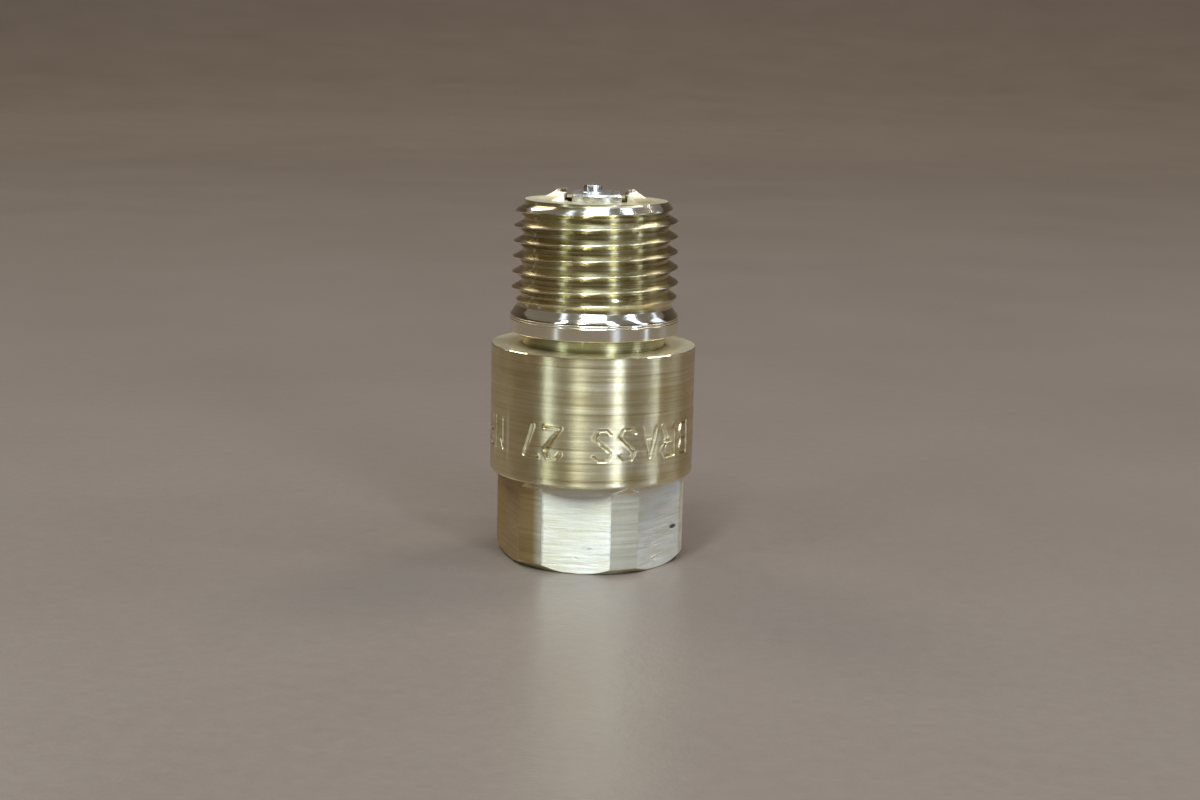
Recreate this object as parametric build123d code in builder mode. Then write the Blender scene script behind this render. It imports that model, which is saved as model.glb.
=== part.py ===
from build123d import *

import math
import os

# A small full-cone spray nozzle turned from brass bar, in two pieces: the body, and a fluted vane
# that is pressed and staked into its inlet. It stands on its outlet face. The origin is the centre
# of that face, and +Z runs along the axis to the threaded inlet. All sizes are in millimetres.

# Wrench end: six flats milled on a spigot. Each runs up a little way into the collar's lower chamfer.
HEX_FLATS = 10.9
HEX_LENGTH = 5.05
HEX_SIDES = 6
HEX_RUN_UP = 0.4
END_CHAMFER = 0.5

# Collar: the full diameter of the bar. Its lower chamfer runs in to the spigot, which cuts the
# hexagon's corners off.
COLLAR_DIAMETER = 12.7
COLLAR_LENGTH = 8.3
COLLAR_CHAMFER = 0.5

# Relief groove between the collar's shoulder and the plain neck.
GROOVE_DEPTH = 0.8
GROOVE_WIDTH = 0.8
NECK_LENGTH = 1.05

# Tapered inlet thread, 1/8-27 NPT: 27 turns to the inch, 1 in 16 on the diameter, right-hand.
INCH = 25.4
TURNS_PER_INCH = 27
THREAD_TAPER = 1 / 16
THREAD_TIP_DIAMETER = 9.99
THREAD_LENGTH = 7.025
THREAD_CREST_FLAT = 0.05
THREAD_ROOT_FLAT = 0.2
THREAD_FLANK_ANGLE = 30
THREAD_START_ANGLE = 0
RUN_OUT_CHAMFER = 0.55
RUN_OUT_FLAT = 0.2
RUN_OUT_UNDERCUT = 0.03
LEAD_LENGTH = 0.8
LEAD_DEPTH = 0.6
CUTTER_OVERLAP = 0.02

# Water way: a bore that holds the vane, a whirl chamber with a drill-point floor, the orifice and
# its flared mouth.
BORE_DIAMETER = 4.9
CHAMBER_DIAMETER = 4.2
DRILL_POINT_ANGLE = 118
ORIFICE_DIAMETER = 1.6
ORIFICE_LAND = 0.7
FLARE_DIAMETER = 5.2
FLARE_ANGLE = 90

# Vane: a bar across the bore, twisted so that its two open sides are helical flutes. It sits on
# the bore's shoulder. Its straight crown, and the pip left by parting off, stand over the rim.
VANE_LENGTH = 6.4
VANE_FIT_CLEARANCE = 0.01
VANE_BAR_WIDTH = 3.0
VANE_TWIST = 120
VANE_TOP_ANGLE = 9
CROWN_HEIGHT = 0.45
CROWN_CHAMFER = 0.12
PIP_DIAMETER = 1.15
PIP_HEIGHT = 0.5
PIP_OFFSET = 0.25

# Staked lips: two arcs of the rim, one beside each flute, raised and bent in over the vane.
LIP_HEIGHT = 0.55
LIP_FOOT = 0.8
LIP_OVERHANG = 0.2
LIP_EDGE = 0.15
LIP_GAP = 0.12


def cone_length(large_diameter, small_diameter, full_angle):
    """Length along the axis of a cone between two diameters."""
    return (large_diameter - small_diameter) / 2 / math.tan(math.radians(full_angle / 2))


def crest_radius(height):
    """Radius over the thread's crests at a height on the axis."""
    return (THREAD_TIP_DIAMETER + (rim_height - height) * THREAD_TAPER) / 2


# Heights of the outside, from the outlet face up to the inlet rim.
collar_top = HEX_LENGTH + COLLAR_LENGTH
neck_bottom = collar_top + GROOVE_WIDTH
neck_top = neck_bottom + NECK_LENGTH
rim_height = neck_top + THREAD_LENGTH
lead_bottom = rim_height - LEAD_LENGTH

# Radii of the outside.
collar_radius = COLLAR_DIAMETER / 2
spigot_radius = collar_radius - COLLAR_CHAMFER
neck_radius = crest_radius(neck_top)
groove_radius = neck_radius - GROOVE_DEPTH
rim_radius = crest_radius(rim_height) - LEAD_DEPTH

# Thread form: a V between a crest flat and a root flat.
thread_pitch = INCH / TURNS_PER_INCH
flank_slope = math.tan(math.radians(THREAD_FLANK_ANGLE))
thread_depth = (thread_pitch - THREAD_CREST_FLAT - THREAD_ROOT_FLAT) / 2 / flank_slope

# Run-out: a chamfer down to the thread's root, a short floor, and the first flank up again.
run_out_bottom = neck_top + RUN_OUT_CHAMFER
run_out_top = run_out_bottom + RUN_OUT_FLAT
run_out_radius = crest_radius(run_out_bottom) - thread_depth - RUN_OUT_UNDERCUT
run_out_end = run_out_top + RUN_OUT_CHAMFER

# Heights of the water way, from the outlet face up.
flare_top = cone_length(FLARE_DIAMETER, ORIFICE_DIAMETER, FLARE_ANGLE)
orifice_top = flare_top + ORIFICE_LAND
chamber_floor = orifice_top + cone_length(CHAMBER_DIAMETER, ORIFICE_DIAMETER, DRILL_POINT_ANGLE)
vane_seat = rim_height - VANE_LENGTH

# The thread cutter's V, from the root flat out past the crests, centred on the run-out's floor.
thread_start = (run_out_bottom + run_out_top) / 2
cutter_root = crest_radius(thread_start) - thread_depth
cutter_mouth = cutter_root + thread_depth + CUTTER_OVERLAP
cutter_outside = cutter_mouth + thread_depth / 2
cutter_travel = rim_height + thread_pitch - thread_start
taper_half_angle = math.degrees(math.atan(THREAD_TAPER / 2))
root_half_width = THREAD_ROOT_FLAT / 2
mouth_half_width = root_half_width + (cutter_mouth - cutter_root) * flank_slope

# The vane turns by VANE_TWIST between its seat and its crown, along this guide.
vane_radius = BORE_DIAMETER / 2 - VANE_FIT_CLEARANCE
seat_angle = VANE_TOP_ANGLE - VANE_TWIST
flute_guide = Edge.make_helix(
    VANE_LENGTH * 360 / VANE_TWIST,
    VANE_LENGTH,
    vane_radius,
    (0, 0, vane_seat),
)

# Each lip runs as far round as the crown leaves room for.
lip_inner_radius = BORE_DIAMETER / 2 - LIP_OVERHANG
lip_half_arc = math.degrees(math.acos((VANE_BAR_WIDTH / 2 + LIP_GAP) / lip_inner_radius))

# Thread cutter: the V swept along a conical helix, from the run-out to a turn past the rim. Past
# the crests its sides run straight out, so that one turn of it stays clear of the next.
with BuildPart() as thread_cutter:
    with BuildSketch(Plane.XZ):
        with BuildLine():
            Polyline(
                (cutter_root, thread_start - root_half_width),
                (cutter_mouth, thread_start - mouth_half_width),
                (cutter_outside, thread_start - mouth_half_width),
                (cutter_outside, thread_start + mouth_half_width),
                (cutter_mouth, thread_start + mouth_half_width),
                (cutter_root, thread_start + root_half_width),
                close=True,
            )
        make_face()
    with BuildLine():
        Helix(
            thread_pitch,
            cutter_travel,
            cutter_root,
            center=(0, 0, thread_start),
            cone_angle=-taper_half_angle,
        )
    sweep(binormal=Edge.make_line((0, 0, thread_start), (0, 0, rim_height)))

with BuildPart() as nozzle_body:
    # Turned outside and bored inside: half of the section through the axis, revolved. The section
    # lies opposite the thread's start.
    with BuildSketch(Plane.XZ.rotated((0, 0, THREAD_START_ANGLE + 180))):
        with BuildLine():
            Polyline(
                (FLARE_DIAMETER / 2, 0),
                (spigot_radius - END_CHAMFER, 0),
                (spigot_radius, END_CHAMFER),
                (spigot_radius, HEX_LENGTH),
                (collar_radius, HEX_LENGTH + COLLAR_CHAMFER),
                (collar_radius, collar_top),
                (groove_radius, collar_top),
                (groove_radius, neck_bottom),
                (neck_radius, neck_bottom),
                (neck_radius, neck_top),
                (run_out_radius, run_out_bottom),
                (run_out_radius, run_out_top),
                (crest_radius(run_out_end), run_out_end),
                (crest_radius(lead_bottom), lead_bottom),
                (rim_radius, rim_height),
                (BORE_DIAMETER / 2, rim_height),
                (BORE_DIAMETER / 2, vane_seat),
                (CHAMBER_DIAMETER / 2, vane_seat),
                (CHAMBER_DIAMETER / 2, chamber_floor),
                (ORIFICE_DIAMETER / 2, orifice_top),
                (ORIFICE_DIAMETER / 2, flare_top),
                close=True,
            )
        make_face()
    revolve(axis=Axis.Z)

    # Tapered right-hand thread.
    add(thread_cutter.part, rotation=(0, 0, THREAD_START_ANGLE), mode=Mode.SUBTRACT)

    # Wrench flats, milled up into the collar's lower chamfer. One pair of them faces along Y.
    with BuildSketch(Plane.XY):
        Circle(collar_radius)
        RegularPolygon(HEX_FLATS / 2, HEX_SIDES, major_radius=False, mode=Mode.SUBTRACT)
    extrude(amount=HEX_LENGTH + HEX_RUN_UP, mode=Mode.SUBTRACT)

    # Staked lips on the rim, centred on the two flutes.
    for flute_angle in (VANE_TOP_ANGLE, VANE_TOP_ANGLE + 180):
        with BuildSketch(Plane.XZ.rotated((0, 0, flute_angle - lip_half_arc))):
            with BuildLine():
                Polyline(
                    (BORE_DIAMETER / 2, rim_height),
                    (BORE_DIAMETER / 2 + LIP_FOOT, rim_height),
                    (lip_inner_radius + LIP_EDGE, rim_height + LIP_HEIGHT),
                    (lip_inner_radius, rim_height + LIP_HEIGHT),
                    close=True,
                )
            make_face()
        revolve(axis=Axis.Z, revolution_arc=2 * lip_half_arc)

nozzle_body.part.label = "nozzle_body"

with BuildPart() as vane:
    # Fluted core: the bar's section, turned steadily as it rises from its seat to the rim.
    with BuildSketch(Plane.XY.offset(vane_seat)):
        Circle(vane_radius)
        Rectangle(VANE_BAR_WIDTH, 2 * vane_radius, rotation=seat_angle, mode=Mode.INTERSECT)
    with BuildLine():
        Line((0, 0, vane_seat), (0, 0, rim_height))
    sweep(binormal=flute_guide)

    # Straight crown of the same section, with its upper edges broken.
    with BuildSketch(Plane.XY.offset(rim_height)):
        Circle(vane_radius)
        Rectangle(VANE_BAR_WIDTH, 2 * vane_radius, rotation=VANE_TOP_ANGLE, mode=Mode.INTERSECT)
    extrude(amount=CROWN_HEIGHT)
    chamfer(vane.faces().sort_by(Axis.Z)[-1].edges(), CROWN_CHAMFER)

    # Parting pip on the crown, a little to one side of the axis.
    with BuildSketch(Plane.XY.offset(rim_height + CROWN_HEIGHT)):
        with PolarLocations(PIP_OFFSET, 1, VANE_TOP_ANGLE + 180):
            Circle(PIP_DIAMETER / 2)
    extrude(amount=PIP_HEIGHT)

vane.part.label = "vane"

os.makedirs("parts", exist_ok=True)
for piece in (nozzle_body.part, vane.part):
    export_step(piece, f"parts/{piece.label}.step")
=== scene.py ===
import math

import bmesh
import bpy
import numpy as np
from mathutils import Matrix, Vector


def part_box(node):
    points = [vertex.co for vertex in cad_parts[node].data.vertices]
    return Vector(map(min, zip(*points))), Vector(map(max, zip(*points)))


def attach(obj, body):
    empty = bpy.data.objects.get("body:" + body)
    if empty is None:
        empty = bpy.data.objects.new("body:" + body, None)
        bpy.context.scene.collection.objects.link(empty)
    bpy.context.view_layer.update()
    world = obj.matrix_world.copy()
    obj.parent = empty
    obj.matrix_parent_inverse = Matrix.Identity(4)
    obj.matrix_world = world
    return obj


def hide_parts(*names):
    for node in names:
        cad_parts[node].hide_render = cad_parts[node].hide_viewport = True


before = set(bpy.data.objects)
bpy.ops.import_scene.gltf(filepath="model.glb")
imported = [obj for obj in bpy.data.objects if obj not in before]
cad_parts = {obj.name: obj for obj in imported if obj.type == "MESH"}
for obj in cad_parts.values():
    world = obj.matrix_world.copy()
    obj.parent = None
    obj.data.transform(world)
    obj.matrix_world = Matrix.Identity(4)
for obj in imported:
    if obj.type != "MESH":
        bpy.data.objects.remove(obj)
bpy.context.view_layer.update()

MM = 0.001

# ---------------------------------------------------------------------------------------------
# Nozzle body: one piece of leaded brass turned from half-inch bar, bored from both ends, threaded
# with a single-point tool and then milled to a hexagon at the outlet end. The maker's band round
# the collar is rolled on with a stamp, and stands upside down while the nozzle rests on its outlet.
# ---------------------------------------------------------------------------------------------
body_low, body_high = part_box("nozzle_body")
LIP_HEIGHT = 0.55
LIP_STAKED_HEIGHT = 0.66
BURR = 0.02
COLLAR_RADIUS = (body_high[0] - body_low[0]) / 2 / MM - BURR
RIM = body_high[2] / MM - LIP_HEIGHT

# Wrench end and its end chamfer, which was turned a little off the centre of the flats.
FLAT_RADIUS = 5.45
SPIGOT_RADIUS = 5.85
HEX_TOP = 5.05
MILLED_TOP = 5.45
MILLED_ROWS = 5
END_FACE_RADIUS = 5.35
END_ECCENTRICITY = 0.17
END_ECCENTRIC_BEARING = -60
FLATS = 6
FIRST_FLAT = 30
FLAT_SPACING = 360 / FLATS
FLAT_ROWS = 12
EDGE_BREAK = 0.03
SMALL_BREAK = 0.012
LEDGE_BREAK = 0.005
FLARE_STEPS = (0.35, 0.7, 0.97)
END_FACE_STEPS = (0.35, 0.7)

# Collar, relief groove and neck.
COLLAR_BOTTOM = 5.55
COLLAR_TOP = 13.35
TOP_BURR_SEED = 3
TOP_BURR_HEIGHT = 0.012
TOP_BURR_BASES = (0.06, 0.02)
THIRDS = (0.33, 0.66, 1.0)
UPPER_WALL_STEPS = (0.02, 0.35, 0.7)
SHOULDER_STEPS = (0.3, 0.6, 0.95)
GROOVE_RADIUS = 4.4145
GROOVE_FILLET = (0.01, 0.03, 0.1)
NECK_BOTTOM = 14.15
NECK_TOP = 15.2
NECK_RADIUS = 5.2145
NECK_LINES = (14.93, 15.08)
NECK_LINE_DEPTH = 0.025
NECK_LINE_HALF = 0.035
NECK_TOP_BREAK = 0.021

# Run-out and the tapered thread.
RUN_OUT_FLOOR = 15.75
RUN_OUT_RISE = 15.95
RUN_OUT_END = 16.5
RUN_OUT_DEPTH = 0.4
PITCH = 25.4 / 27
THREAD_START = 15.85
THREAD_TIP_RADIUS = 4.995
THREAD_TAPER = 1 / 32
THREAD_ROWS = (-0.1, 0.0, 0.1, 0.2, 0.3, 0.37, 0.43, 0.4703, 0.51, 0.57, 0.64, 0.74)
CREST_WEAR = 0.012
CREST_SEED = 21
TOUCH = 1e-6
THREAD_ROOT_HALF = 0.1
THREAD_CREST_HALF = 0.025
FLANK_SLOPE = math.tan(math.radians(30))
THREAD_DEPTH = (PITCH / 2 - THREAD_ROOT_HALF - THREAD_CREST_HALF) / FLANK_SLOPE
LEAD_BOTTOM = RIM - 0.8
RIM_RADIUS = 4.395

# Water way.
BORE_RADIUS = 2.45
BORE_ROWS = 6
BORE_BREAK = 0.06
VANE_SEAT = RIM - 6.4
CHAMBER_RADIUS = 2.1
CHAMBER_FLOOR = 3.281
ORIFICE_TOP = 2.5
ORIFICE_RADIUS = 0.8
FLARE_TOP = 1.8
FLARE_RADIUS = 2.6

# Staked lips, one beside each flute of the vane.
LIP_BEARINGS = (9, 189)
LIP_HALF_ARC = 43.9
LIP_FOOT = 3.75
LIP_OUTER = 2.42
LIP_INNER = 2.25
LIP_END = 9
LIP_CURVE = 1.7
LIP_STEPS = (0.3, 0.6, 0.85, 1.0)
LIP_RAGGED_REACH = 3.0
LIP_TOOTH = 0.10
LIP_SLUMP = 0.12
LIP_FULL = 0.85
LIP_LOWEST = 0.45
LIP_OPEN = 0.1
LIP_LIFT = 0.02
RAGGED_SEED = 8
SLUMP_SEED = 15
RIM_BAND = 0.25
LIP_TIP = 0.97
LIP_UNDERCUT = (0.6, 0.4)

COLUMNS = 360
edge_half = math.degrees(math.acos(FLAT_RADIUS / SPIGOT_RADIUS))
bearings = np.arange(COLUMNS, dtype=float)
for flat in range(FLATS):
    for side in (-edge_half, edge_half):
        edge = (FIRST_FLAT + FLAT_SPACING * flat + side) % 360
        bearings[int(round(edge)) % COLUMNS] = edge
fine_bearings = np.empty(COLUMNS * 2)
fine_bearings[0::2] = bearings
fine_bearings[1::2] = (bearings + np.append(bearings[1:], 360 + bearings[0])) / 2


def smooth_step(value, low, high):
    """Eases from 0 at low to 1 at high."""
    part = np.clip((value - low) / (high - low), 0, 1)
    return part * part * (3 - 2 * part)


def wander(angles, seed, waves, first):
    """A repeatable uneven line round the axis, about -1 to 1."""
    draw = np.random.default_rng(seed)
    line = np.zeros_like(angles)
    for wave in range(first, first + waves):
        line += np.sin(np.radians(angles) * wave + draw.uniform(0, 2 * math.pi)) / math.sqrt(waves)
    return line


def off_flat(angles):
    """Degrees from each bearing to the middle of the nearest wrench flat."""
    half = FLAT_SPACING / 2
    return (angles - FIRST_FLAT + half) % FLAT_SPACING - half


class Turning:
    """Rings of points laid one after another along the body's section, skinned into one surface."""

    def __init__(self):
        self.points = []
        self.faces = []
        self.zones = []
        self.count = 0
        self.last = None

    def ring(self, radius, height, zone=0, angles=None):
        """Adds a ring, and the faces to the ring before it in the given zone."""
        angles = bearings if angles is None else angles
        turn = np.radians(angles)
        radius = np.broadcast_to(np.asarray(radius, float), turn.shape)
        height = np.broadcast_to(np.asarray(height, float), turn.shape)
        self.points.append(np.stack([radius * np.cos(turn), radius * np.sin(turn), height], 1))
        here = self.count + np.arange(len(turn))
        self.count += len(turn)
        if self.last is not None:
            self.skin(self.last, here, zone)
        self.last = here
        return here

    def skin(self, before, here, zone):
        """Joins two rings, where one may have twice the points of the other."""
        zone = np.broadcast_to(np.asarray(zone), (min(len(before), len(here)),))
        if len(before) == len(here):
            after = np.roll(here, -1)
            past = np.roll(before, -1)
            for a, b, c, d, z in zip(before, past, after, here, zone):
                self.faces.append((a, b, c, d))
                self.zones.append(z)
            return
        flip = len(before) > len(here)
        coarse, fine = (here, before) if flip else (before, here)
        total = len(coarse)
        for i in range(total):
            c0, c1 = coarse[i], coarse[(i + 1) % total]
            f0, f1, f2 = fine[2 * i], fine[2 * i + 1], fine[(2 * i + 2) % len(fine)]
            three = [(c0, f1, f0), (c0, c1, f1), (c1, f2, f1)]
            for face in three:
                self.faces.append(face[::-1] if flip else face)
                self.zones.append(zone[i])


# Zones of finish, in the order of the body's material slots.
TURNED, MILLED, THREAD, BRIGHT, GROOVE, INSIDE, STAMPED, FACED, CORNER = range(9)

body = Turning()

# Flared mouth and the end face.
first_ring = body.ring(ORIFICE_RADIUS, FLARE_TOP)
for step in FLARE_STEPS:
    body.ring(
        ORIFICE_RADIUS + (FLARE_RADIUS - ORIFICE_RADIUS) * step,
        FLARE_TOP * (1 - step),
        INSIDE,
    )
body.ring(FLARE_RADIUS + EDGE_BREAK, 0.0, INSIDE)
eccentric = END_ECCENTRICITY * np.cos(np.radians(bearings - END_ECCENTRIC_BEARING))
end_radius = END_FACE_RADIUS + eccentric
for step in END_FACE_STEPS:
    body.ring(FLARE_RADIUS + (end_radius - FLARE_RADIUS) * step, 0.0, TURNED)
body.ring(end_radius - EDGE_BREAK, 0.0, TURNED)

# End chamfer up to where it meets the flats, then the flats and the round strips between them.
full_hex_radius = FLAT_RADIUS / np.cos(np.radians(off_flat(bearings)))
hex_radius = np.minimum(SPIGOT_RADIUS, full_hex_radius)
chamfer_top = np.maximum(hex_radius - end_radius, EDGE_BREAK)
body.ring(np.minimum(end_radius, hex_radius), SMALL_BREAK, TURNED)
body.ring((end_radius + hex_radius) / 2, chamfer_top / 2, TURNED)
body.ring(hex_radius - SMALL_BREAK, chamfer_top - SMALL_BREAK, TURNED)
between_columns = 180 / COLUMNS
flat_zone = np.where(
    np.abs(off_flat(bearings + between_columns)) < edge_half, MILLED, CORNER
)
body.ring(hex_radius, chamfer_top + EDGE_BREAK / 2, flat_zone)
for row in range(1, FLAT_ROWS + 1):
    part = row / FLAT_ROWS
    body.ring(hex_radius, (chamfer_top + EDGE_BREAK) * (1 - part) + HEX_TOP * part, flat_zone)
for step in np.arange(1, MILLED_ROWS + 1) / MILLED_ROWS:
    height = HEX_TOP + (MILLED_TOP - HEX_TOP) * step
    cone_radius = SPIGOT_RADIUS + height - HEX_TOP
    milled_radius = np.minimum(full_hex_radius, cone_radius)
    body.ring(milled_radius, height, np.where(full_hex_radius < cone_radius, MILLED, TURNED))
body.ring(np.full(COLUMNS, cone_radius), MILLED_TOP + LEDGE_BREAK, MILLED)

# Collar's lower chamfer and wall, below the stamped band.
body.ring(COLLAR_RADIUS - EDGE_BREAK, COLLAR_BOTTOM - EDGE_BREAK, TURNED)
body.ring(COLLAR_RADIUS, COLLAR_BOTTOM + EDGE_BREAK, TURNED)
STAMP_LOW = 7.05
STAMP_HIGH = 9.25
for step in THIRDS:
    body.ring(COLLAR_RADIUS, COLLAR_BOTTOM + (STAMP_LOW - COLLAR_BOTTOM) * step, TURNED)

# Stamped band: characters rolled in with square-ended strokes, each with metal raised beside it.
# Strokes lie on a grid 4 wide and 6 high.
STROKES = {
    "B": [(0, 0, 0, 6), (0, 6, 3, 6), (3, 6, 4, 5), (4, 5, 3, 3), (0, 3, 3, 3), (3, 3, 4, 1.5),
          (4, 1.5, 3, 0), (3, 0, 0, 0)],
    "R": [(0, 0, 0, 6), (0, 6, 3, 6), (3, 6, 4, 4.6), (4, 4.6, 3, 3), (3, 3, 0, 3), (2, 3, 4, 0)],
    "A": [(0, 0, 2, 6), (2, 6, 4, 0), (0.8, 2.2, 3.2, 2.2)],
    "S": [(0, 0.8, 1, 0), (1, 0, 3, 0), (3, 0, 4, 1.5), (4, 1.5, 0, 4.5), (0, 4.5, 1, 6),
          (1, 6, 3, 6), (3, 6, 4, 5.2)],
    "2": [(0, 5, 1, 6), (1, 6, 3, 6), (3, 6, 4, 4.5), (4, 4.5, 0, 0), (0, 0, 4, 0)],
    "7": [(0, 6, 4, 6), (4, 6, 1.4, 0)],
    "N": [(0, 0, 0, 6), (0, 6, 4, 0), (4, 0, 4, 6)],
    "P": [(0, 0, 0, 6), (0, 6, 3, 6), (3, 6, 4, 4.5), (4, 4.5, 3, 3), (3, 3, 0, 3)],
    "T": [(0, 6, 4, 6), (2, 6, 2, 0)],
}
STAMP_TEXT = "BRASS 27 NPT "
STAMP_REPEATS = 2
STAMP_FIRST_BEARING = -20.0
STAMP_HEIGHT = 1.85
STAMP_WIDTH = 0.98
STAMP_MIDDLE = 8.15
STROKE_HALF = 0.085
STROKE_DEPTH = 0.13
STROKE_FLOOR = 0.35
STROKE_EDGE = 1.25
STROKE_FULL = 0.75
STROKE_UNEVEN = 0.25
BURR_REACH = 0.14
BURR_WIDTH = 0.035
LETTER_LIFT = 0.03
LIFT_SEED = 4
PRESSURE_SEED = 11
STAMP_ROWS = 48
CHARACTER_GRID = (4, 6)

stamp_angles = fine_bearings
stamp_heights = np.linspace(STAMP_LOW, STAMP_HIGH, STAMP_ROWS + 1)
across = np.radians(stamp_angles) * COLLAR_RADIUS
round_length = 2 * math.pi * COLLAR_RADIUS
nearest = np.full((len(stamp_heights), len(stamp_angles)), STAMP_HIGH)
draw = np.random.default_rng(LIFT_SEED)
characters = STAMP_TEXT * STAMP_REPEATS
for place, character in enumerate(characters):
    middle = math.radians(STAMP_FIRST_BEARING) * COLLAR_RADIUS
    middle -= place / len(characters) * round_length
    lift = draw.normal(0, LETTER_LIFT)
    for x0, y0, x1, y1 in STROKES.get(character, []):
        ends = []
        for x, y in ((x0, y0), (x1, y1)):
            u = middle - (x / CHARACTER_GRID[0] - 0.5) * STAMP_WIDTH
            v = STAMP_MIDDLE + lift - (y / CHARACTER_GRID[1] - 0.5) * STAMP_HEIGHT
            ends.append((u, v))
        (u0, v0), (u1, v1) = ends
        du = (across[None, :] - u0 + round_length / 2) % round_length - round_length / 2
        dv = stamp_heights[:, None] - v0
        length = (u1 - u0) ** 2 + (v1 - v0) ** 2
        along = np.clip((du * (u1 - u0) + dv * (v1 - v0)) / length, 0, 1)
        gap = np.hypot(du - along * (u1 - u0), dv - along * (v1 - v0))
        nearest = np.minimum(nearest, gap)
pressed = 1 - smooth_step(nearest, STROKE_HALF * STROKE_FLOOR, STROKE_HALF * STROKE_EDGE)
raised = np.exp(-(((nearest - BURR_REACH) / BURR_WIDTH) ** 2))
pressure = wander(stamp_angles, PRESSURE_SEED, waves=14, first=3)
uneven = STROKE_FULL + STROKE_UNEVEN * pressure[None, :]
stamp_relief = BURR * raised * uneven - STROKE_DEPTH * pressed * uneven
for row, height in enumerate(stamp_heights):
    body.ring(COLLAR_RADIUS + np.minimum(stamp_relief[row], BURR), height, STAMPED, stamp_angles)

# Collar above the band, its sharp top edge with a few turned-up burrs, and the shoulder.
for step in UPPER_WALL_STEPS:
    body.ring(COLLAR_RADIUS, STAMP_HIGH + (COLLAR_TOP - STAMP_HIGH) * step, TURNED)
burr_line = np.clip(wander(bearings, TOP_BURR_SEED, waves=40, first=20), 0, 1)
body.ring(COLLAR_RADIUS, COLLAR_TOP - TOP_BURR_BASES[0], TURNED)
body.ring(COLLAR_RADIUS + BURR / 2 * burr_line, COLLAR_TOP - TOP_BURR_BASES[1], TURNED)
body.ring(COLLAR_RADIUS - EDGE_BREAK, COLLAR_TOP + TOP_BURR_HEIGHT * burr_line, BRIGHT)
body.ring(COLLAR_RADIUS - 3 * EDGE_BREAK, COLLAR_TOP, FACED)
for step in SHOULDER_STEPS:
    body.ring(COLLAR_RADIUS + (GROOVE_RADIUS - COLLAR_RADIUS) * step, COLLAR_TOP, FACED)

# Relief groove and the neck, with two fine tool lines near its top.
body.ring(GROOVE_RADIUS + GROOVE_FILLET[0], COLLAR_TOP + GROOVE_FILLET[1], GROOVE)
body.ring(GROOVE_RADIUS, COLLAR_TOP + GROOVE_FILLET[2], GROOVE)
body.ring(GROOVE_RADIUS, (COLLAR_TOP + NECK_BOTTOM) / 2, GROOVE)
body.ring(GROOVE_RADIUS, NECK_BOTTOM - EDGE_BREAK, GROOVE)
body.ring(GROOVE_RADIUS + EDGE_BREAK, NECK_BOTTOM, GROOVE)
body.ring(NECK_RADIUS - EDGE_BREAK, NECK_BOTTOM, GROOVE)
body.ring(NECK_RADIUS, NECK_BOTTOM + EDGE_BREAK, BRIGHT)
body.ring(NECK_RADIUS, (NECK_BOTTOM + NECK_LINES[0]) / 2, BRIGHT)
for line in NECK_LINES:
    body.ring(NECK_RADIUS, line - NECK_LINE_HALF, BRIGHT)
    body.ring(NECK_RADIUS - NECK_LINE_DEPTH, line, BRIGHT)
    body.ring(NECK_RADIUS, line + NECK_LINE_HALF, BRIGHT)
body.ring(NECK_RADIUS, NECK_TOP - EDGE_BREAK, BRIGHT)


def crest_radius(height):
    """Radius over the thread's crests at a height."""
    return THREAD_TIP_RADIUS + (RIM - height) * THREAD_TAPER


# Run-out chamfer and floor.
run_out_radius = crest_radius(RUN_OUT_FLOOR) - RUN_OUT_DEPTH
body.ring(NECK_RADIUS - NECK_TOP_BREAK, NECK_TOP + EDGE_BREAK, BRIGHT)
body.ring((NECK_RADIUS + run_out_radius) / 2, (NECK_TOP + RUN_OUT_FLOOR) / 2, BRIGHT)
body.ring(run_out_radius, RUN_OUT_FLOOR, BRIGHT)
body.ring(run_out_radius, (RUN_OUT_FLOOR + RUN_OUT_RISE) / 2, THREAD)

# Thread: rows of points that climb with the helix, so that its crest and root are clean edges.
# Where a row would start below the run-out or end above the rim it lies on that ring instead.
first_turn = -1
last_turn = int(math.ceil((RIM - THREAD_START) / PITCH)) + 1
row_heights = []
for turn in range(first_turn, last_turn):
    for offset in THREAD_ROWS:
        row_heights.append(THREAD_START + turn * PITCH + offset)
row_heights = np.array(row_heights)
climb = bearings / 360 * PITCH
grid_height = np.clip(row_heights[:, None] + climb[None, :], RUN_OUT_RISE, RIM)
for level in (RUN_OUT_END, LEAD_BOTTOM):
    closest = np.argmin(np.abs(grid_height - level), axis=0)
    grid_height[closest, np.arange(COLUMNS)] = level
from_root = (grid_height - THREAD_START - climb[None, :]) / PITCH
from_root = np.abs((from_root + 0.5) % 1 - 0.5) * PITCH
before_start = grid_height < THREAD_START + climb[None, :] - PITCH / 2
cut = THREAD_DEPTH - np.maximum(from_root - THREAD_ROOT_HALF, 0) / FLANK_SLOPE
cut = np.where(before_start, 0, np.maximum(cut, 0))
crest_wear = CREST_WEAR * np.clip(wander(bearings, CREST_SEED, waves=24, first=5), 0, 1)
envelope = crest_radius(grid_height) - crest_wear[None, :]
rise = run_out_radius + (grid_height - RUN_OUT_RISE) * (
    (crest_radius(RUN_OUT_END) - run_out_radius) / (RUN_OUT_END - RUN_OUT_RISE)
)
lead = RIM_RADIUS + (RIM - grid_height) * (
    (crest_radius(LEAD_BOTTOM) - RIM_RADIUS) / (RIM - LEAD_BOTTOM)
)
thread_radius = np.minimum(np.minimum(envelope, rise), lead)
thread_radius = np.minimum(thread_radius, crest_radius(grid_height) - cut)
rows, columns = thread_radius.shape
turn = np.radians(bearings)
thread_points = np.stack(
    [
        thread_radius * np.cos(turn)[None, :],
        thread_radius * np.sin(turn)[None, :],
        grid_height,
    ],
    2,
)
is_lead = lead <= crest_radius(grid_height) - cut + TOUCH
floor_ring = body.ring(run_out_radius, RUN_OUT_RISE, THREAD)
start_index = body.count
body.points.append(thread_points.reshape(-1, 3))
body.count += rows * columns
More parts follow.
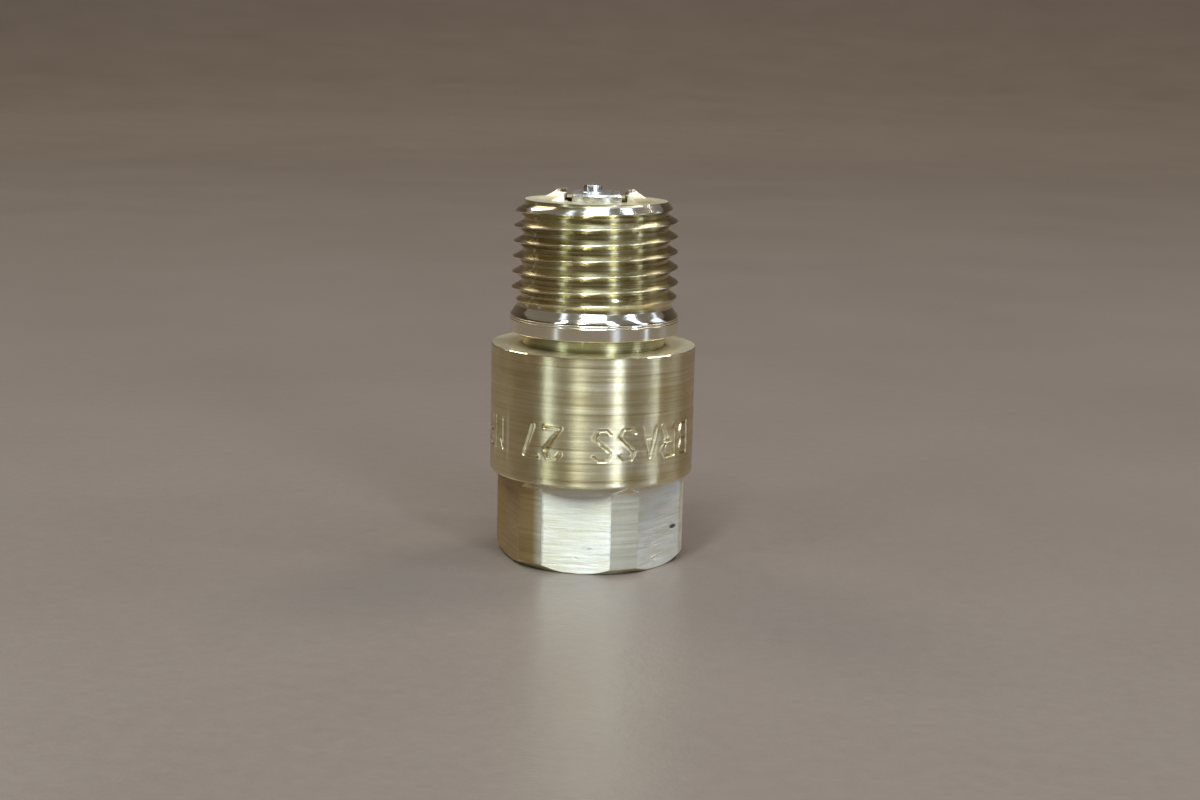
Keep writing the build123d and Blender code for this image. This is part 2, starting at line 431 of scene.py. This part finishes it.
index = start_index + np.arange(rows * columns).reshape(rows, columns)
body.skin(floor_ring, index[0], THREAD)
per_turn = len(THREAD_ROWS)
for row in range(rows - 1):
    for column in range(columns):
        next_column = (column + 1) % columns
        hop = per_turn if next_column == 0 else 0
        if row + 1 + hop >= rows:
            continue
        lower = grid_height[row, column] >= LEAD_BOTTOM - TOUCH and is_lead[row, column]
        upper = is_lead[row + 1, column]
        body.faces.append(
            (
                index[row, column],
                index[row + hop, next_column],
                index[row + 1 + hop, next_column],
                index[row + 1, column],
            )
        )
        body.zones.append(BRIGHT if lower and upper else THREAD)
body.last = None

# Rim, staked lips and the bore. A lip leans in over the vane, and its edge is ragged.
nearest_lip = np.min(
    [np.abs((bearings - middle + 180) % 360 - 180) for middle in LIP_BEARINGS], axis=0
)
ragged = wander(bearings, RAGGED_SEED, waves=24, first=17)
slump = wander(bearings, SLUMP_SEED, waves=5, first=2)
lip = 1 - smooth_step(
    nearest_lip + LIP_RAGGED_REACH * ragged, LIP_HALF_ARC - LIP_END, LIP_HALF_ARC
)
lip_edge = np.clip(LIP_FULL + LIP_TOOTH * ragged + LIP_SLUMP * slump, LIP_LOWEST, 1.0)
lip_rise = LIP_STAKED_HEIGHT * lip * lip_edge
body.ring(RIM_RADIUS, RIM)
body.ring(RIM_RADIUS - EDGE_BREAK, RIM, FACED)
body.ring(LIP_FOOT + RIM_BAND, RIM, FACED)
body.ring(LIP_FOOT, RIM + LIP_LIFT * lip, FACED)
for step in LIP_STEPS:
    lip_mouth = LIP_OUTER + LIP_OPEN * (1 - lip)
    body.ring(
        LIP_FOOT + (lip_mouth - LIP_FOOT) * step, RIM + lip_rise * step ** LIP_CURVE, FACED
    )
bore_mouth = BORE_RADIUS + LIP_LIFT
body.ring(bore_mouth + (LIP_INNER - bore_mouth) * lip, RIM + lip_rise * LIP_TIP, INSIDE)
body.ring(
    BORE_RADIUS + (LIP_INNER - BORE_RADIUS) * lip * LIP_UNDERCUT[0],
    RIM + lip_rise * LIP_UNDERCUT[1] - LIP_LIFT,
    INSIDE,
)
body.ring(BORE_RADIUS, RIM - BORE_BREAK, INSIDE)
bore_depth = RIM - BORE_BREAK - VANE_SEAT
for row in range(1, BORE_ROWS + 1):
    body.ring(BORE_RADIUS, RIM - BORE_BREAK - bore_depth * row / BORE_ROWS, INSIDE)
body.ring(CHAMBER_RADIUS, VANE_SEAT, INSIDE)
for step in THIRDS:
    body.ring(CHAMBER_RADIUS, VANE_SEAT + (CHAMBER_FLOOR - VANE_SEAT) * step, INSIDE)
body.ring((CHAMBER_RADIUS + ORIFICE_RADIUS) / 2, (CHAMBER_FLOOR + ORIFICE_TOP) / 2, INSIDE)
body.ring(ORIFICE_RADIUS, ORIFICE_TOP, INSIDE)
body.ring(ORIFICE_RADIUS, (ORIFICE_TOP + FLARE_TOP) / 2, INSIDE)
body.skin(body.last, first_ring, INSIDE)


MERGE_DISTANCE = 0.0001


def piece_from_points(name, points, faces, zones):
    """Makes one clean closed mesh piece from points in millimetres."""
    mesh = bpy.data.meshes.new(name)
    mesh.from_pydata((points * MM).tolist(), [], [tuple(int(i) for i in f) for f in faces])
    mesh.polygons.foreach_set("material_index", np.array(zones, dtype=np.int32))
    work = bmesh.new()
    work.from_mesh(mesh)
    bmesh.ops.remove_doubles(work, verts=work.verts, dist=MERGE_DISTANCE * MM)
    bmesh.ops.dissolve_degenerate(work, edges=work.edges, dist=MERGE_DISTANCE * MM)
    loose = [v for v in work.verts if not v.link_faces]
    bmesh.ops.delete(work, geom=loose, context="VERTS")
    bmesh.ops.recalc_face_normals(work, faces=work.faces)
    work.to_mesh(mesh)
    work.free()
    piece = bpy.data.objects.new(name, mesh)
    bpy.context.scene.collection.objects.link(piece)
    return piece


def shade_by_angle(piece, degrees):
    """Smooth shading, kept sharp where faces meet at more than an angle."""
    mesh = piece.data
    mesh.polygons.foreach_set("use_smooth", [True] * len(mesh.polygons))
    mesh.set_sharp_from_angle(angle=math.radians(degrees))


turned_body = piece_from_points(
    "turned_body", np.concatenate(body.points), body.faces, body.zones
)
BODY_SHARP_ANGLE = 22
shade_by_angle(turned_body, BODY_SHARP_ANGLE)


def add_node(tree, kind, inputs=None, **settings):
    """Adds a shader node with its settings. Each input is given a value, or a socket to link."""
    made = tree.nodes.new(kind)
    for key, value in settings.items():
        setattr(made, key, value)
    for key, value in (inputs or {}).items():
        if isinstance(value, bpy.types.NodeSocket):
            tree.links.new(value, made.inputs[key])
        else:
            made.inputs[key].default_value = value
    return made


def blank_material(name):
    """A new material with only its shader and output."""
    material = bpy.data.materials.new(name)
    material.use_nodes = True
    tree = material.node_tree
    tree.nodes.clear()
    shader = add_node(tree, "ShaderNodeBsdfPrincipled")
    output = add_node(tree, "ShaderNodeOutputMaterial")
    tree.links.new(shader.outputs[0], output.inputs[0])
    return material, tree, shader


MIX_FACTOR = 0
MIX_FIRST = 6
MIX_SECOND = 7


def colour_mix(tree, factor, low, high, blend="MIX"):
    """Mixes two colours by a factor."""
    made = add_node(tree, "ShaderNodeMix", data_type="RGBA", blend_type=blend)
    for slot, value in ((MIX_FACTOR, factor), (MIX_FIRST, low), (MIX_SECOND, high)):
        if isinstance(value, bpy.types.NodeSocket):
            tree.links.new(value, made.inputs[slot])
        else:
            made.inputs[slot].default_value = value
    return made.outputs[2]


def maths(tree, operation, a, b=0.5):
    """One arithmetic step."""
    made = add_node(tree, "ShaderNodeMath", {0: a, 1: b}, operation=operation)
    return made.outputs[0]


def vector_maths(tree, operation, a, b):
    """One arithmetic step on two places."""
    made = add_node(tree, "ShaderNodeVectorMath", {0: a, 1: b}, operation=operation)
    return made.outputs[0]


def spread(tree, value, low, high, to_low=0.0, to_high=1.0):
    """Maps a range of values to another, held at its ends."""
    made = add_node(
        tree,
        "ShaderNodeMapRange",
        {"Value": value, "From Min": low, "From Max": high, "To Min": to_low, "To Max": to_high},
    )
    return made.outputs[0]


def noise(tree, place, scale, detail, roughness):
    """Noise at a place, scaled per millimetre."""
    made = add_node(
        tree,
        "ShaderNodeTexNoise",
        {"Vector": place, "Scale": scale, "Detail": detail, "Roughness": roughness},
    )
    return made.outputs[0]


def stretched(tree, place, sizes):
    """Scales the place by different amounts along the three axes."""
    made = add_node(tree, "ShaderNodeMapping", {"Vector": place, "Scale": sizes})
    return made.outputs[0]


PER_METRE = (1000,) * 3
RING_NOISE = {"detail": 4.0, "roughness": 0.62}
GROUP_STRETCH = (0.03, 0.03, 1.3)
CLOUD_NOISE = {"detail": 3.0, "roughness": 0.6}
PATCH_SCALE = 0.35
SPECK_SCALE = 14.0
SPECK_NOISE = {"detail": 2.0, "roughness": 0.6}
RING_SHARE = 0.65
PATCH_SHARE = 0.35
TONE_RANGE = (0.38, 0.62)
TARNISH_RANGE = (0.28, 0.42)
TARNISH = (0.16, 0.12, 0.05, 1)
EDGE_RANGE = (0.53, 0.62)
WORN_EDGE = (0.97, 0.92, 0.76, 1)
LEFT_SHADE_RANGE = (-2.75, -2.25)
PIT_SHAPE = (2.9, 2.9, 7.5)
PIT_RANGE = (1.2, 1.6)
PIT_SHADE = (0.13, 0.12, 0.08, 1)
PIT_DEPTH = 0.08
ROUGH_RANGE = (0.7, 1.3)
ROUGH_LEAST = 0.78
ROUGH_MOST = 1.25
ACROSS_THE_MARKS = 0.25
SCRATCH_TURN = (0.0, 0.9, 0.6)
SCRATCH_STRETCH = (0.25, 0.25, 5.0)
SCRATCH_NOISE = {"detail": 1.0, "roughness": 0.4}
SCRATCH_WIDTH = 0.012
SCRATCHED_PATCHES = (0.52, 0.6)


def brass(
    name,
    pale,
    deep,
    rough,
    aniso=0.0,
    ring=0.0,
    grain=0.0,
    worn=0.5,
    stain=0.15,
    stretch=(0.10, 0.10, 7.0),
    scratch=0.0,
    metal=1.0,
    pit=None,
    left_shade=None,
):
    """Leaded brass as a tool leaves it: pale and deep tones, ring marks, grain and bright edges."""
    material, tree, shader = blank_material(name)
    coordinates = add_node(tree, "ShaderNodeTexCoord")
    place = stretched(tree, coordinates.outputs["Object"], PER_METRE)
    rings = noise(tree, stretched(tree, place, stretch), 1.0, **RING_NOISE)
    groups = noise(tree, stretched(tree, place, GROUP_STRETCH), 1.0, **CLOUD_NOISE)
    patches = noise(tree, place, PATCH_SCALE, **CLOUD_NOISE)
    specks = noise(tree, place, SPECK_SCALE, **SPECK_NOISE)
    ring_tone = maths(tree, "MULTIPLY", rings, RING_SHARE)
    patch_tone = maths(tree, "MULTIPLY", patches, PATCH_SHARE)
    tone = maths(tree, "ADD", ring_tone, patch_tone)
    colour = colour_mix(tree, spread(tree, tone, *TONE_RANGE), deep, pale)
    dull = spread(tree, maths(tree, "MULTIPLY", groups, specks), *TARNISH_RANGE, 0.0, stain)
    colour = colour_mix(tree, dull, colour, TARNISH)
    edges = add_node(tree, "ShaderNodeNewGeometry").outputs["Pointiness"]
    edge = spread(tree, edges, *EDGE_RANGE, 0.0, worn)
    colour = colour_mix(tree, edge, colour, WORN_EDGE)
    # Painted shade: colour on the -x side of the part is multiplied by a darker, browner tint.
    if left_shade:
        side = add_node(tree, "ShaderNodeSeparateXYZ", {0: place}).outputs[0]
        painted_shade_side = spread(tree, side, *LEFT_SHADE_RANGE, 1.0, 0.0)
        colour = colour_mix(tree, painted_shade_side, colour, left_shade, "MULTIPLY")
    hollow = None
    # Painted shade in a pit: the colour is darkened round a given place, where the bump also sinks
    # the surface.
    if pit:
        away = vector_maths(tree, "SUBTRACT", place, pit)
        away = vector_maths(tree, "MULTIPLY", away, PIT_SHAPE)
        reach = add_node(tree, "ShaderNodeVectorMath", {0: away}, operation="LENGTH")
        uneven_reach = maths(tree, "ADD", reach.outputs["Value"], specks)
        hollow = spread(tree, uneven_reach, *PIT_RANGE, 1.0, 0.0)
        colour = colour_mix(tree, hollow, colour, PIT_SHADE)
    tree.links.new(colour, shader.inputs["Base Color"])
    shader.inputs["Metallic"].default_value = metal
    marks = maths(tree, "ADD", rings, groups)
    base = spread(tree, marks, *ROUGH_RANGE, rough * ROUGH_LEAST, rough * ROUGH_MOST)
    tree.links.new(base, shader.inputs["Roughness"])
    if aniso:
        shader.inputs["Anisotropic"].default_value = aniso
        shader.inputs["Anisotropic Rotation"].default_value = ACROSS_THE_MARKS
        tangent = add_node(tree, "ShaderNodeTangent", direction_type="RADIAL", axis="Z")
        tree.links.new(tangent.outputs[0], shader.inputs["Tangent"])
    ring_height = maths(tree, "MULTIPLY", rings, ring)
    grain_height = maths(tree, "MULTIPLY", specks, grain)
    height = maths(tree, "ADD", ring_height, grain_height)
    if scratch:
        slanted = add_node(
            tree,
            "ShaderNodeMapping",
            {"Vector": place, "Rotation": SCRATCH_TURN, "Scale": SCRATCH_STRETCH},
        )
        lines = noise(tree, slanted.outputs[0], 1.0, **SCRATCH_NOISE)
        thin = maths(tree, "ABSOLUTE", maths(tree, "SUBTRACT", lines, 0.5))
        mask = spread(tree, thin, 0.0, SCRATCH_WIDTH, 1.0, 0.0)
        mask = maths(tree, "MULTIPLY", mask, spread(tree, patches, *SCRATCHED_PATCHES))
        height = maths(tree, "SUBTRACT", height, maths(tree, "MULTIPLY", mask, scratch))
    if pit:
        height = maths(tree, "SUBTRACT", height, maths(tree, "MULTIPLY", hollow, PIT_DEPTH))
    bump = add_node(tree, "ShaderNodeBump", {"Height": height, "Distance": MM, "Strength": 1.0})
    tree.links.new(bump.outputs[0], shader.inputs["Normal"])
    return material


# The cylinder of the collar keeps fine turning rings, the flats coarser milling marks across them.
# The wrench end carries painted shade, darker and browner on one side, and one flat has a small pit
# with painted shade in it.
PALE = (0.88, 0.78, 0.50, 1)
DEEP = (0.68, 0.56, 0.27, 1)
# Painted shade: the tint multiplied over the left side of the wrench end.
LEFT_SIDE_SHADE = (0.62, 0.46, 0.26, 1)
NICK_PLACE = (5.42, -1.513, 2.3)
finishes = [
    brass("collar_brass", pale=PALE, deep=DEEP, rough=0.32, aniso=0.98, ring=0.012, grain=0.0006),
    brass(
        "flat_brass",
        pale=(1.0, 0.97, 0.83, 1),
        deep=(0.84, 0.77, 0.55, 1),
        rough=0.50,
        aniso=0.98,
        ring=0.045,
        grain=0.008,
        stretch=(0.35, 0.35, 4.0),
        scratch=0.03,
        metal=0.80,
        pit=NICK_PLACE,
        left_shade=LEFT_SIDE_SHADE,
    ),
    brass(
        "thread_brass",
        pale=(0.82, 0.75, 0.46, 1),
        deep=(0.42, 0.34, 0.15, 1),
        rough=0.25,
        aniso=0.9,
        ring=0.004,
        grain=0.001,
        worn=0.9,
        stain=0.5,
    ),
    brass(
        "bright_brass",
        pale=(0.95, 0.90, 0.76, 1),
        deep=(0.88, 0.81, 0.60, 1),
        rough=0.11,
        aniso=0.5,
        ring=0.003,
        grain=0.0002,
        stain=0.05,
    ),
    # Painted shade: the relief groove gets a darker brass that stands for the shade and dark
    # reflections inside it.
    brass(
        "groove_brass_painted_shade",
        pale=(0.64, 0.60, 0.38, 1),
        deep=(0.34, 0.30, 0.15, 1),
        rough=0.34,
        aniso=0.9,
        ring=0.004,
    ),
    # Painted shade: the bore, flare and undersides of the lips get a near-black brass that stands
    # for the shade inside the water way.
    brass(
        "inside_brass_painted_shade",
        pale=(0.26, 0.20, 0.08, 1),
        deep=(0.08, 0.06, 0.02, 1),
        rough=0.45,
        aniso=0.2,
        ring=0.003,
        stain=0.5,
    ),
    brass(
        "stamped_brass",
        pale=PALE,
        deep=DEEP,
        rough=0.32,
        aniso=0.98,
        ring=0.012,
        grain=0.0006,
        worn=0.9,
    ),
    brass(
        "faced_brass",
        pale=(0.98, 0.90, 0.64, 1),
        deep=(0.86, 0.75, 0.47, 1),
        rough=0.42,
        ring=0.006,
        grain=0.004,
    ),
    brass(
        "corner_brass",
        pale=(0.84, 0.80, 0.62, 1),
        deep=(0.70, 0.65, 0.46, 1),
        rough=0.58,
        ring=0.012,
        grain=0.006,
        left_shade=LEFT_SIDE_SHADE,
    ),
]
for finish in finishes:
    turned_body.data.materials.append(finish)
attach(turned_body, "root")
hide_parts("nozzle_body")

# ---------------------------------------------------------------------------------------------
# Vane: a brass bar milled flat on two sides and twisted, pressed into the inlet. Its straight crown
# stands over the rim with the pip that was left when it was parted from its bar.
# ---------------------------------------------------------------------------------------------
vane_low, vane_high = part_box("vane")
VANE_RADIUS = (vane_high[0] - vane_low[0]) / 2 / MM
VANE_FOOT = vane_low[2] / MM
BAR_HALF = 1.5
VANE_TOP_ANGLE = 9
VANE_TWIST = 120
CROWN_TOP = RIM + 0.45
CROWN_CHAMFER = 0.12
PIP_RADIUS = 0.575
PIP_TOP = vane_high[2] / MM
PIP_OFFSET = 0.25
PIP_FOOT_GROW = 1.4
PIP_PROFILE = (
    (1.15, 0.0),
    (1.04, 0.04),
    (1.0, 0.12),
    (1.0, 0.38),
    (0.95, 0.46),
    (0.6, 0.44),
    (0.3, 0.49),
)
PIP_WAVES = ((5, 1.0, 0.02), (11, 0.0, 0.015))
PIP_ROUND_WAVE = 0.8
PIP_TOP_WAVE = 0.6
PIP_TOP_DIP = 0.01
PIP_TORN_FROM = 0.3
FOOT_BREAK = 0.05
TWIST_ROWS = 60
SIDE_POINTS = 14
ARC_POINTS = 22
VANE_SHARP_ANGLE = 28


def bar_section(radius, half):
    """Outline of the bar: two flats and two arcs, anticlockwise from the right-hand flat."""
    reach = math.sqrt(radius ** 2 - half ** 2)
    tip = math.atan2(reach, half)
    outline = [(half, reach * (2 * i / SIDE_POINTS - 1)) for i in range(SIDE_POINTS)]
    for i in range(ARC_POINTS):
        angle = tip + (math.pi - 2 * tip) * i / ARC_POINTS
        outline.append((radius * math.cos(angle), radius * math.sin(angle)))
    outline = np.array(outline)
    return np.concatenate([outline, -outline])


def placed(outline, degrees, height, shift=(0.0, 0.0)):
    """The outline turned about the axis at a height."""
    turn = math.radians(degrees)
    x = outline[:, 0] * math.cos(turn) - outline[:, 1] * math.sin(turn) + shift[0]
    y = outline[:, 0] * math.sin(turn) + outline[:, 1] * math.cos(turn) + shift[1]
    return np.stack([x, y, np.broadcast_to(height, x.shape)], 1)


bar = bar_section(VANE_RADIUS, BAR_HALF)
foot = bar_section(VANE_RADIUS - FOOT_BREAK, BAR_HALF - FOOT_BREAK)
loops = [placed(foot, VANE_TOP_ANGLE - VANE_TWIST, VANE_FOOT)]
for row in range(TWIST_ROWS + 1):
    part = row / TWIST_ROWS
    height = VANE_FOOT + FOOT_BREAK + (RIM - VANE_FOOT - FOOT_BREAK) * part
    loops.append(placed(bar, VANE_TOP_ANGLE - VANE_TWIST * (1 - part), height))
loops.append(placed(bar, VANE_TOP_ANGLE, CROWN_TOP - CROWN_CHAMFER))
small = bar_section(VANE_RADIUS - CROWN_CHAMFER, BAR_HALF - CROWN_CHAMFER)
loops.append(placed(small, VANE_TOP_ANGLE, CROWN_TOP))
pip_turn = math.radians(VANE_TOP_ANGLE + 180)
pip_shift = (PIP_OFFSET * math.cos(pip_turn), PIP_OFFSET * math.sin(pip_turn))
around = np.arctan2(small[:, 1], small[:, 0])
circle = np.stack([np.cos(around), np.sin(around)], 1)
half_way = (small + circle * PIP_RADIUS * PIP_FOOT_GROW) / 2
loops.append(placed(half_way, VANE_TOP_ANGLE, CROWN_TOP, (pip_shift[0] / 2, pip_shift[1] / 2)))
pip_wave = np.zeros_like(around)
for count, phase, swell in PIP_WAVES:
    pip_wave += swell * np.sin(around * count + phase)
for grow, lift in PIP_PROFILE:
    rim_line = circle * (PIP_RADIUS * grow * (1 + pip_wave * PIP_ROUND_WAVE))[:, None]
    torn = pip_wave * PIP_TOP_WAVE - PIP_TOP_DIP if lift > PIP_TORN_FROM else 0
    lift_line = np.minimum(CROWN_TOP + lift + torn, PIP_TOP)
    loops.append(placed(rim_line, VANE_TOP_ANGLE, lift_line, pip_shift))
vane_points = np.concatenate(loops)
ring_size = len(bar)
FLUTES, CROWN = range(2)
vane_faces = []
vane_zones = []
for level in range(len(loops) - 1):
    for i in range(ring_size):
        j = (i + 1) % ring_size
        low = level * ring_size
        high = low + ring_size
        vane_faces.append((low + i, low + j, high + j, high + i))
        vane_zones.append(FLUTES if level < TWIST_ROWS else CROWN)
vane_faces.append(tuple(range(ring_size))[::-1])
vane_zones.append(FLUTES)
vane_faces.append(tuple(range(len(vane_points) - ring_size, len(vane_points))))
vane_zones.append(CROWN)
fluted_vane = piece_from_points("fluted_vane", vane_points, vane_faces, vane_zones)
shade_by_angle(fluted_vane, VANE_SHARP_ANGLE)
# Painted shade: the flutes down in the bore get a dark brass that stands for the shade there, while
# the crown above the rim keeps a pale one.
shaded_flute_brass = brass(
    "shaded_flute_brass",
    pale=(0.42, 0.34, 0.18, 1),
    deep=(0.22, 0.17, 0.08, 1),
    rough=0.4,
    ring=0.004,
    stain=0.4,
)
crown_brass = brass(
    "crown_brass",
    pale=(0.88, 0.87, 0.80, 1),
    deep=(0.62, 0.60, 0.50, 1),
    rough=0.27,
    ring=0.004,
    grain=0.0006,
    worn=0.8,
    stretch=(5.0, 0.3, 5.0),
)
for finish in (shaded_flute_brass, crown_brass):
    fluted_vane.data.materials.append(finish)
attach(fluted_vane, "root")
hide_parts("vane")

# ---------------------------------------------------------------------------------------------
# Bench, light and camera: a plain pale bench top that curves up all round like a shallow bowl, with
# soft panels round and over the nozzle. The nozzle stands free on it.
# ---------------------------------------------------------------------------------------------
# The bench lies a hair below the end face, so that the two never share a plane.
BENCH_TOP = -0.00002
BENCH_SECTION = (
    (0.0, BENCH_TOP),
    (0.1, BENCH_TOP),
    (0.4, BENCH_TOP),
    (0.9, BENCH_TOP),
    (1.1, 0.015),
    (1.3, 0.06),
    (1.5, 0.14),
    (1.7, 0.27),
    (1.85, 0.45),
    (1.95, 0.7),
    (2.0, 1.0),
)
BENCH_COLUMNS = 96
BENCH_MERGE = 1e-6
BENCH_PALE = (0.200, 0.156, 0.118, 1)
BENCH_DEEP = (0.165, 0.126, 0.093, 1)
BENCH_ROUGHNESS = 0.30
BENCH_SHINE = 0.5
BENCH_GRAIN_SCALE = 900.0
BENCH_GRAIN_NOISE = {"detail": 4.0, "roughness": 0.7}
BENCH_CLOUD_SCALE = 25.0
BENCH_GRAIN_SHARE = 0.4
BENCH_CLOUD_SHARE = 0.6
BENCH_TONE_RANGE = (0.3, 0.7)
BENCH_GRAIN_DEPTH = 0.00006
BENCH_GRAIN_STRENGTH = 0.6
bench_points = []
bench_faces = []
for level, (reach, rise_up) in enumerate(BENCH_SECTION):
    for column in range(BENCH_COLUMNS):
        swing = 2 * math.pi * column / BENCH_COLUMNS
        bench_points.append((reach * math.cos(swing), reach * math.sin(swing), rise_up))
        following = (column + 1) % BENCH_COLUMNS
        if level:
            low = (level - 1) * BENCH_COLUMNS
            high = level * BENCH_COLUMNS
            bench_faces.append((low + column, high + column, high + following, low + following))
floor_mesh = bpy.data.meshes.new("bench_top")
floor_mesh.from_pydata(bench_points, [], bench_faces)
work = bmesh.new()
work.from_mesh(floor_mesh)
bmesh.ops.remove_doubles(work, verts=work.verts, dist=BENCH_MERGE)
work.to_mesh(floor_mesh)
work.free()
floor_mesh.polygons.foreach_set("use_smooth", [True] * len(floor_mesh.polygons))
bench_top = bpy.data.objects.new("bench_top", floor_mesh)
bpy.context.scene.collection.objects.link(bench_top)
bench_finish, bench_tree, bench_shader = blank_material("bench_finish")
bench_place = add_node(bench_tree, "ShaderNodeTexCoord").outputs["Object"]
bench_grain = noise(bench_tree, bench_place, BENCH_GRAIN_SCALE, **BENCH_GRAIN_NOISE)
bench_cloud = noise(bench_tree, bench_place, BENCH_CLOUD_SCALE, **CLOUD_NOISE)
bench_tone = maths(
    bench_tree,
    "ADD",
    maths(bench_tree, "MULTIPLY", bench_grain, BENCH_GRAIN_SHARE),
    maths(bench_tree, "MULTIPLY", bench_cloud, BENCH_CLOUD_SHARE),
)
bench_mix = spread(bench_tree, bench_tone, *BENCH_TONE_RANGE)
bench_colour = colour_mix(bench_tree, bench_mix, BENCH_DEEP, BENCH_PALE)
bench_tree.links.new(bench_colour, bench_shader.inputs["Base Color"])
bench_shader.inputs["Roughness"].default_value = BENCH_ROUGHNESS
bench_shader.inputs["Specular IOR Level"].default_value = BENCH_SHINE
bench_bump = add_node(
    bench_tree,
    "ShaderNodeBump",
    {"Height": bench_grain, "Distance": BENCH_GRAIN_DEPTH, "Strength": BENCH_GRAIN_STRENGTH},
)
bench_tree.links.new(bench_bump.outputs[0], bench_shader.inputs["Normal"])
bench_top.data.materials.append(bench_finish)

STUDIO_COLOUR = (0.40, 0.36, 0.33, 1)
STUDIO_STRENGTH = 0.40
studio = bpy.data.worlds.new("studio")
bpy.context.scene.world = studio
studio.use_nodes = True
studio_light = studio.node_tree.nodes["Background"]
studio_light.inputs["Color"].default_value = STUDIO_COLOUR
studio_light.inputs["Strength"].default_value = STUDIO_STRENGTH

CAMERA_AZIMUTH = 8.5
AIM_HEIGHT = 0.012


def seen_from(azimuth, elevation, distance):
    """A point round the nozzle. Azimuth 0 is over the camera and grows to the camera's right."""
    swing = math.radians(azimuth + CAMERA_AZIMUTH)
    lift = math.radians(elevation)
    out = Vector(
        (math.sin(swing) * math.cos(lift), -math.cos(swing) * math.cos(lift), math.sin(lift))
    )
    return out * distance + Vector((0, 0, AIM_HEIGHT))


def panel(name, azimuth, elevation, distance, width, height, radiance, colour, target=None):
    """A soft rectangular light, as bright as its radiance wherever it is seen. It faces the nozzle,
    or a target."""
    light = bpy.data.lights.new(name, "AREA")
    light.shape = "RECTANGLE"
    light.size = width
    light.size_y = height
    light.energy = radiance * width * height * math.pi
    light.color = colour
    lamp = bpy.data.objects.new(name, light)
    bpy.context.scene.collection.objects.link(lamp)
    lamp.location = seen_from(azimuth, elevation, distance)
    target = Vector((0, 0, AIM_HEIGHT)) if target is None else target
    lamp.rotation_euler = (lamp.location - target).to_track_quat("Z", "Y").to_euler()
    return lamp


COOL = (0.72, 0.88, 1.20)
# Name, azimuth, elevation, distance, width, height, radiance and colour of each panel.
PANELS = (
    ("left_strip", -52, 32, 0.6, 0.055, 0.45, 9.5, (0.74, 0.93, 1.10)),
    ("near_strip", -20, 58, 0.6, 0.055, 0.30, 42.0, (0.80, 0.93, 1.02)),
    ("right_strip", 30, 34, 0.6, 0.07, 0.45, 16.0, COOL),
    ("far_right_strip", 76, 30, 0.6, 0.03, 0.45, 13.0, COOL),
    ("side_fill", 108, 25, 0.7, 0.2, 0.3, 1.2, COOL),
    ("overhead", 5, 72, 0.6, 0.20, 0.34, 8.0, COOL),
    ("overhead_left", -66, 62, 0.6, 0.05, 0.20, 1.5, COOL),
    ("overhead_right", 78, 58, 0.6, 0.05, 0.20, 9.0, COOL),
    ("key", 130, 50, 1.2, 0.35, 0.35, 13.0, (1.0, 0.95, 0.90)),
    ("back_left", -140, 42, 1.0, 0.3, 0.3, 9.0, (1.0, 0.95, 0.85)),
)
for settings in PANELS:
    panel(*settings)
BACKDROP_PANEL = ("backdrop_light", 180, 50, 1.0, 1.0, 0.4, 5.0, (0.96, 0.97, 1.0))
BACKDROP_POINT = (180, 8, 2.2)
panel(*BACKDROP_PANEL, seen_from(*BACKDROP_POINT))

camera_data = bpy.data.cameras.new("camera")
camera = bpy.data.objects.new("camera", camera_data)
bpy.context.scene.collection.objects.link(camera)
CAMERA_LENS = 54.9
CAMERA_DISTANCE = 112.64
CAMERA_HEIGHT = 30.55
PITCH_DOWN = 10.47
YAW_RIGHT = 0.247
ROLL = 1.284
SENSOR_WIDTH = 36
NEAREST_SEEN = 0.005
FARTHEST_SEEN = 20
camera_data.lens = CAMERA_LENS
camera_data.sensor_width = SENSOR_WIDTH
camera_data.clip_start = NEAREST_SEEN
camera_data.clip_end = FARTHEST_SEEN
azimuth = math.radians(CAMERA_AZIMUTH)
camera_place = Vector(
    (CAMERA_DISTANCE * math.sin(azimuth), -CAMERA_DISTANCE * math.cos(azimuth), CAMERA_HEIGHT)
)
level_right = Vector((math.cos(azimuth), math.sin(azimuth), 0))
level_forward = Vector((-math.sin(azimuth), math.cos(azimuth), 0))
yaw = math.radians(YAW_RIGHT)
heading = level_forward * math.cos(yaw) + level_right * math.sin(yaw)
right = level_right * math.cos(yaw) - level_forward * math.sin(yaw)
down = math.radians(PITCH_DOWN)
forward = heading * math.cos(down) + Vector((0, 0, -math.sin(down)))
up = right.cross(forward)
roll = math.radians(ROLL)
rolled_right = right * math.cos(roll) + up * math.sin(roll)
rolled_up = rolled_right.cross(forward)
axes = Matrix((rolled_right, rolled_up, -forward)).transposed()
camera.matrix_world = Matrix.Translation(camera_place * MM) @ axes.to_4x4()
bpy.context.scene.camera = camera
bpy.context.scene.view_settings.view_transform = "Standard"
